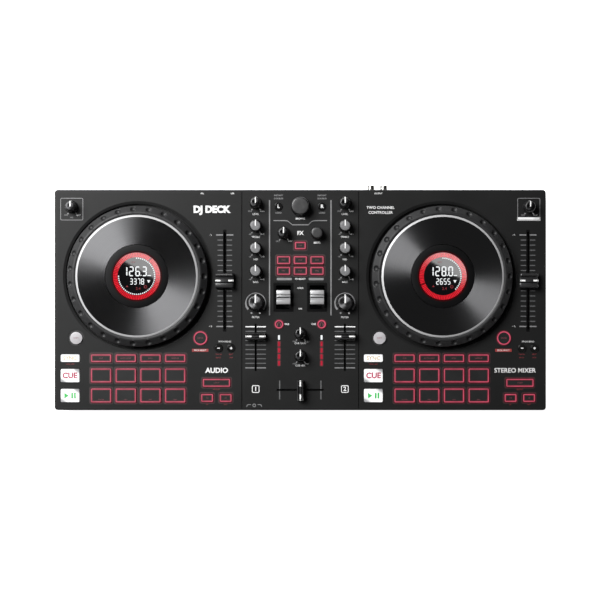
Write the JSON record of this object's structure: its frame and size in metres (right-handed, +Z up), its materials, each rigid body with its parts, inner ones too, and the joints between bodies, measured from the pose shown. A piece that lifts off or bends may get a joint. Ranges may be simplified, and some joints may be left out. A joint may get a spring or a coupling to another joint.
{
  "type": "dj controller",
  "caption": "Flat DJ controller: jog wheels with round displays on each side, a central mixer with knobs and faders, lit pads and buttons, sockets at the rear and front.",
  "frame": {"origin": "middle of the footprint of the case and its rear sockets, on the surface that the feet stand on", "axes": "+X to the player's right, +Y to the rear, away from the player, +Z up"},
  "size_m": [0.536, 0.2466, 0.0535],
  "materials": {
    "case_top": "dark grey moulded plastic with a fine brushed grain, satin",
    "case_bottom": "black moulded plastic with a fine spark-eroded texture",
    "mixer_plate": "near-black printed plate, satin",
    "circuit_board": "green solder mask",
    "pot_housing": "black moulded housing",
    "track_steel": "pressed steel",
    "post_plastic": "natural acetal, low friction",
    "display_glass": "glossy black behind a clear lens",
    "platter_plastic": "black moulded plastic, satin",
    "plate_metal": "black anodised, turned with fine rings, a bright cut bevel",
    "button_white": "translucent white, lit from below",
    "button_grey": "light grey, satin",
    "button_black": "black moulded plastic or rubber, satin",
    "knob_grey": "grey soft-touch top on a black skirt",
    "knob_black": "black soft-touch",
    "shaft_steel": "turned steel",
    "fader_cap": "black ribbed plastic",
    "paddle_metal": "plated silver, fine grooves",
    "meter_light": "clear light guides",
    "jack_plating": "nickel plated sleeves",
    "socket_black": "black moulded socket",
    "socket_shell": "nickel plated shell",
    "foot_rubber": "black rubber",
    "screw_steel": "blackened steel",
    "print_white": "screen-printed white marks",
    "print_grey": "screen-printed grey marks",
    "lit_red": "red light through the panel",
    "lit_white": "white light",
    "lit_green": "green light"
  },
  "bodies": {
    "chassis": {"bottom_case": "case_bottom", "case_screws": "screw_steel", "circuit_boards": "circuit_board", "fader_tracks": "track_steel", "feet": "foot_rubber", "headphone_jacks": "socket_black", "jog_displays": "display_glass", "jog_posts": "post_plastic", "level_meters": "meter_light", "mic_jack": "socket_black", "mixer_panel": "mixer_plate", "output_jacks": "jack_plating", "rotary_pots": "pot_housing", "top_case": "case_top", "usb_port": "socket_shell"},
    "left_jog": {"left_jog_platter": "platter_plastic", "left_jog_plate": "plate_metal"},
    "right_jog": {"right_jog_platter": "platter_plastic", "right_jog_plate": "plate_metal"},
    "bend_and_load_buttons": {"bend_and_load_buttons": "button_black"},
    "browse_knob": {"browse_knob": "knob_black"},
    "browse_shaft": {"browse_shaft": "shaft_steel"},
    "crossfader": {"crossfader": "fader_cap"},
    "cue_gain_knob": {"cue_gain_knob": "knob_black"},
    "cue_mix_knob": {"cue_mix_knob": "knob_black"},
    "fx_beats_knob": {"fx_beats_knob": "knob_black"},
    "fx_buttons": {"fx_buttons": "button_black"},
    "fx_mix_knob": {"fx_mix_knob": "knob_black"},
    "headphone_cue_buttons": {"headphone_cue_buttons": "button_black"},
    "left_bass_knob": {"left_bass_knob": "knob_grey"},
    "left_channel_fader": {"left_channel_fader": "fader_cap"},
    "left_cue_button": {"left_cue_button": "button_white"},
    "left_filter_knob": {"left_filter_knob": "knob_black"},
    "left_fx_paddle": {"left_fx_paddle": "paddle_metal"},
    "left_level_knob": {"left_level_knob": "knob_black"},
    "left_loop_buttons": {"left_loop_buttons": "button_black"},
    "left_mid_knob": {"left_mid_knob": "knob_grey"},
    "left_mode_buttons": {"left_mode_buttons": "button_black"},
    "left_pads": {"left_pads": "button_black"},
    "left_pitch_fader": {"left_pitch_fader": "fader_cap"},
    "left_play_button": {"left_play_button": "button_white"},
    "left_sync_button": {"left_sync_button": "button_white"},
    "left_treble_knob": {"left_treble_knob": "knob_grey"},
    "master_gain_knob": {"master_gain_knob": "knob_black"},
    "mic_gain_knob": {"mic_gain_knob": "knob_black"},
    "right_bass_knob": {"right_bass_knob": "knob_grey"},
    "right_channel_fader": {"right_channel_fader": "fader_cap"},
    "right_cue_button": {"right_cue_button": "button_white"},
    "right_filter_knob": {"right_filter_knob": "knob_black"},
    "right_fx_paddle": {"right_fx_paddle": "paddle_metal"},
    "right_level_knob": {"right_level_knob": "knob_black"},
    "right_loop_buttons": {"right_loop_buttons": "button_black"},
    "right_mid_knob": {"right_mid_knob": "knob_grey"},
    "right_mode_buttons": {"right_mode_buttons": "button_black"},
    "right_pads": {"right_pads": "button_black"},
    "right_pitch_fader": {"right_pitch_fader": "fader_cap"},
    "right_play_button": {"right_play_button": "button_white"},
    "right_sync_button": {"right_sync_button": "button_white"},
    "right_treble_knob": {"right_treble_knob": "knob_grey"},
    "shift_and_deck_buttons": {"shift_and_deck_buttons": "button_grey"}
  },
  "joints": [
    {"name": "left_jog_spin", "type": "hinge", "parent": "chassis", "child": "left_jog", "pos_m": [-0.1766, 0.02265, 0.038], "axis": [0, 0, 1], "continuous": true},
    {"name": "right_jog_spin", "type": "hinge", "parent": "chassis", "child": "right_jog", "pos_m": [0.1539, 0.02265, 0.038], "axis": [0, 0, 1], "continuous": true},
    {"name": "left_pitch_fader_slide", "type": "slide", "parent": "chassis", "child": "left_pitch_fader", "axis": [0, 1, 0], "range_m": [-0.05, 0.05]},
    {"name": "right_pitch_fader_slide", "type": "slide", "parent": "chassis", "child": "right_pitch_fader", "axis": [0, 1, 0], "range_m": [-0.05, 0.05]},
    {"name": "left_channel_fader_slide", "type": "slide", "parent": "chassis", "child": "left_channel_fader", "axis": [0, 1, 0], "range_m": [-0.0346, 0.0104]},
    {"name": "right_channel_fader_slide", "type": "slide", "parent": "chassis", "child": "right_channel_fader", "axis": [0, 1, 0], "range_m": [-0.0346, 0.0104]},
    {"name": "crossfader_slide", "type": "slide", "parent": "chassis", "child": "crossfader", "axis": [1, 0, 0], "range_m": [-0.0225, 0.0225]},
    {"name": "left_fx_paddle_rock", "type": "hinge", "parent": "chassis", "child": "left_fx_paddle", "pos_m": [-0.0183, -0.00005, 0.0311], "axis": [1, 0, 0], "range_deg": [-15, 15], "stiffness_Nm_per_rad": 0.05},
    {"name": "right_fx_paddle_rock", "type": "hinge", "parent": "chassis", "child": "right_fx_paddle", "pos_m": [0.0183, -0.00005, 0.0311], "axis": [1, 0, 0], "range_deg": [-15, 15], "stiffness_Nm_per_rad": 0.05},
    {"name": "browse_push", "type": "slide", "parent": "chassis", "child": "browse_shaft", "axis": [0, 0, -1], "range_m": [0, 0.0005], "stiffness_N_per_m": 1200, "springref_m": -0.001},
    {"name": "browse_turn", "type": "hinge", "parent": "browse_shaft", "child": "browse_knob", "pos_m": [0, 0.09885, 0.0389], "axis": [0, 0, 1], "continuous": true},
    {"name": "left_play_button_press", "type": "slide", "parent": "chassis", "child": "left_play_button", "axis": [0, 0, -1], "range_m": [0, 0.001], "stiffness_N_per_m": 600, "springref_m": -0.0015},
    {"name": "left_cue_button_press", "type": "slide", "parent": "chassis", "child": "left_cue_button", "axis": [0, 0, -1], "range_m": [0, 0.001], "stiffness_N_per_m": 600, "springref_m": -0.0015},
    {"name": "left_sync_button_press", "type": "slide", "parent": "chassis", "child": "left_sync_button", "axis": [0, 0, -1], "range_m": [0, 0.001], "stiffness_N_per_m": 600, "springref_m": -0.0015},
    {"name": "left_pads_press", "type": "slide", "parent": "chassis", "child": "left_pads", "axis": [0, 0, -1], "range_m": [0, 0.001], "stiffness_N_per_m": 600, "springref_m": -0.0015},
    {"name": "left_mode_buttons_press", "type": "slide", "parent": "chassis", "child": "left_mode_buttons", "axis": [0, 0, -1], "range_m": [0, 0.001], "stiffness_N_per_m": 600, "springref_m": -0.0015},
    {"name": "left_loop_buttons_press", "type": "slide", "parent": "chassis", "child": "left_loop_buttons", "axis": [0, 0, -1], "range_m": [0, 0.001], "stiffness_N_per_m": 600, "springref_m": -0.0015},
    {"name": "right_play_button_press", "type": "slide", "parent": "chassis", "child": "right_play_button", "axis": [0, 0, -1], "range_m": [0, 0.001], "stiffness_N_per_m": 600, "springref_m": -0.0015},
    {"name": "right_cue_button_press", "type": "slide", "parent": "chassis", "child": "right_cue_button", "axis": [0, 0, -1], "range_m": [0, 0.001], "stiffness_N_per_m": 600, "springref_m": -0.0015},
    {"name": "right_sync_button_press", "type": "slide", "parent": "chassis", "child": "right_sync_button", "axis": [0, 0, -1], "range_m": [0, 0.001], "stiffness_N_per_m": 600, "springref_m": -0.0015},
    {"name": "right_pads_press", "type": "slide", "parent": "chassis", "child": "right_pads", "axis": [0, 0, -1], "range_m": [0, 0.001], "stiffness_N_per_m": 600, "springref_m": -0.0015},
    {"name": "right_mode_buttons_press", "type": "slide", "parent": "chassis", "child": "right_mode_buttons", "axis": [0, 0, -1], "range_m": [0, 0.001], "stiffness_N_per_m": 600, "springref_m": -0.0015},
    {"name": "right_loop_buttons_press", "type": "slide", "parent": "chassis", "child": "right_loop_buttons", "axis": [0, 0, -1], "range_m": [0, 0.001], "stiffness_N_per_m": 600, "springref_m": -0.0015},
    {"name": "shift_and_deck_buttons_press", "type": "slide", "parent": "chassis", "child": "shift_and_deck_buttons", "axis": [0, 0, -1], "range_m": [0, 0.001], "stiffness_N_per_m": 600, "springref_m": -0.0015},
    {"name": "bend_and_load_buttons_press", "type": "slide", "parent": "chassis", "child": "bend_and_load_buttons", "axis": [0, 0, -1], "range_m": [0, 0.001], "stiffness_N_per_m": 600, "springref_m": -0.0015},
    {"name": "fx_buttons_press", "type": "slide", "parent": "chassis", "child": "fx_buttons", "axis": [0, 0, -1], "range_m": [0, 0.001], "stiffness_N_per_m": 600, "springref_m": -0.0015},
    {"name": "headphone_cue_buttons_press", "type": "slide", "parent": "chassis", "child": "headphone_cue_buttons", "axis": [0, 0, -1], "range_m": [0, 0.001], "stiffness_N_per_m": 600, "springref_m": -0.0015},
    {"name": "mic_gain_knob_turn", "type": "hinge", "parent": "chassis", "child": "mic_gain_knob", "pos_m": [-0.2491, 0.09835, 0.0389], "axis": [0, 0, 1], "range_deg": [-150, 150]},
    {"name": "master_gain_knob_turn", "type": "hinge", "parent": "chassis", "child": "master_gain_knob", "pos_m": [0.2491, 0.09835, 0.0389], "axis": [0, 0, 1], "range_deg": [-150, 150]},
    {"name": "fx_mix_knob_turn", "type": "hinge", "parent": "chassis", "child": "fx_mix_knob", "pos_m": [-0.0182, 0.06985, 0.0389], "axis": [0, 0, 1], "range_deg": [-150, 150]},
    {"name": "fx_beats_knob_turn", "type": "hinge", "parent": "chassis", "child": "fx_beats_knob", "pos_m": [0.0182, 0.06985, 0.0389], "axis": [0, 0, 1], "continuous": true},
    {"name": "cue_gain_knob_turn", "type": "hinge", "parent": "chassis", "child": "cue_gain_knob", "pos_m": [0, -0.03945, 0.0389], "axis": [0, 0, 1], "range_deg": [-150, 150]},
    {"name": "cue_mix_knob_turn", "type": "hinge", "parent": "chassis", "child": "cue_mix_knob", "pos_m": [0, -0.06375, 0.0389], "axis": [0, 0, 1], "range_deg": [-150, 150]},
    {"name": "left_level_knob_turn", "type": "hinge", "parent": "chassis", "child": "left_level_knob", "pos_m": [-0.0486, 0.10255, 0.0389], "axis": [0, 0, 1], "range_deg": [-150, 150]},
    {"name": "left_treble_knob_turn", "type": "hinge", "parent": "chassis", "child": "left_treble_knob", "pos_m": [-0.0486, 0.07765, 0.0389], "axis": [0, 0, 1], "range_deg": [-150, 150]},
    {"name": "left_mid_knob_turn", "type": "hinge", "parent": "chassis", "child": "left_mid_knob", "pos_m": [-0.0486, 0.05315, 0.0389], "axis": [0, 0, 1], "range_deg": [-150, 150]},
    {"name": "left_bass_knob_turn", "type": "hinge", "parent": "chassis", "child": "left_bass_knob", "pos_m": [-0.0486, 0.02845, 0.0389], "axis": [0, 0, 1], "range_deg": [-150, 150]},
    {"name": "left_filter_knob_turn", "type": "hinge", "parent": "chassis", "child": "left_filter_knob", "pos_m": [-0.0486, -0.00595, 0.0389], "axis": [0, 0, 1], "range_deg": [-150, 150]},
    {"name": "right_level_knob_turn", "type": "hinge", "parent": "chassis", "child": "right_level_knob", "pos_m": [0.0486, 0.10255, 0.0389], "axis": [0, 0, 1], "range_deg": [-150, 150]},
    {"name": "right_treble_knob_turn", "type": "hinge", "parent": "chassis", "child": "right_treble_knob", "pos_m": [0.0486, 0.07765, 0.0389], "axis": [0, 0, 1], "range_deg": [-150, 150]},
    {"name": "right_mid_knob_turn", "type": "hinge", "parent": "chassis", "child": "right_mid_knob", "pos_m": [0.0486, 0.05315, 0.0389], "axis": [0, 0, 1], "range_deg": [-150, 150]},
    {"name": "right_bass_knob_turn", "type": "hinge", "parent": "chassis", "child": "right_bass_knob", "pos_m": [0.0486, 0.02845, 0.0389], "axis": [0, 0, 1], "range_deg": [-150, 150]},
    {"name": "right_filter_knob_turn", "type": "hinge", "parent": "chassis", "child": "right_filter_knob", "pos_m": [0.0486, -0.00595, 0.0389], "axis": [0, 0, 1], "range_deg": [-150, 150]}
  ]
}
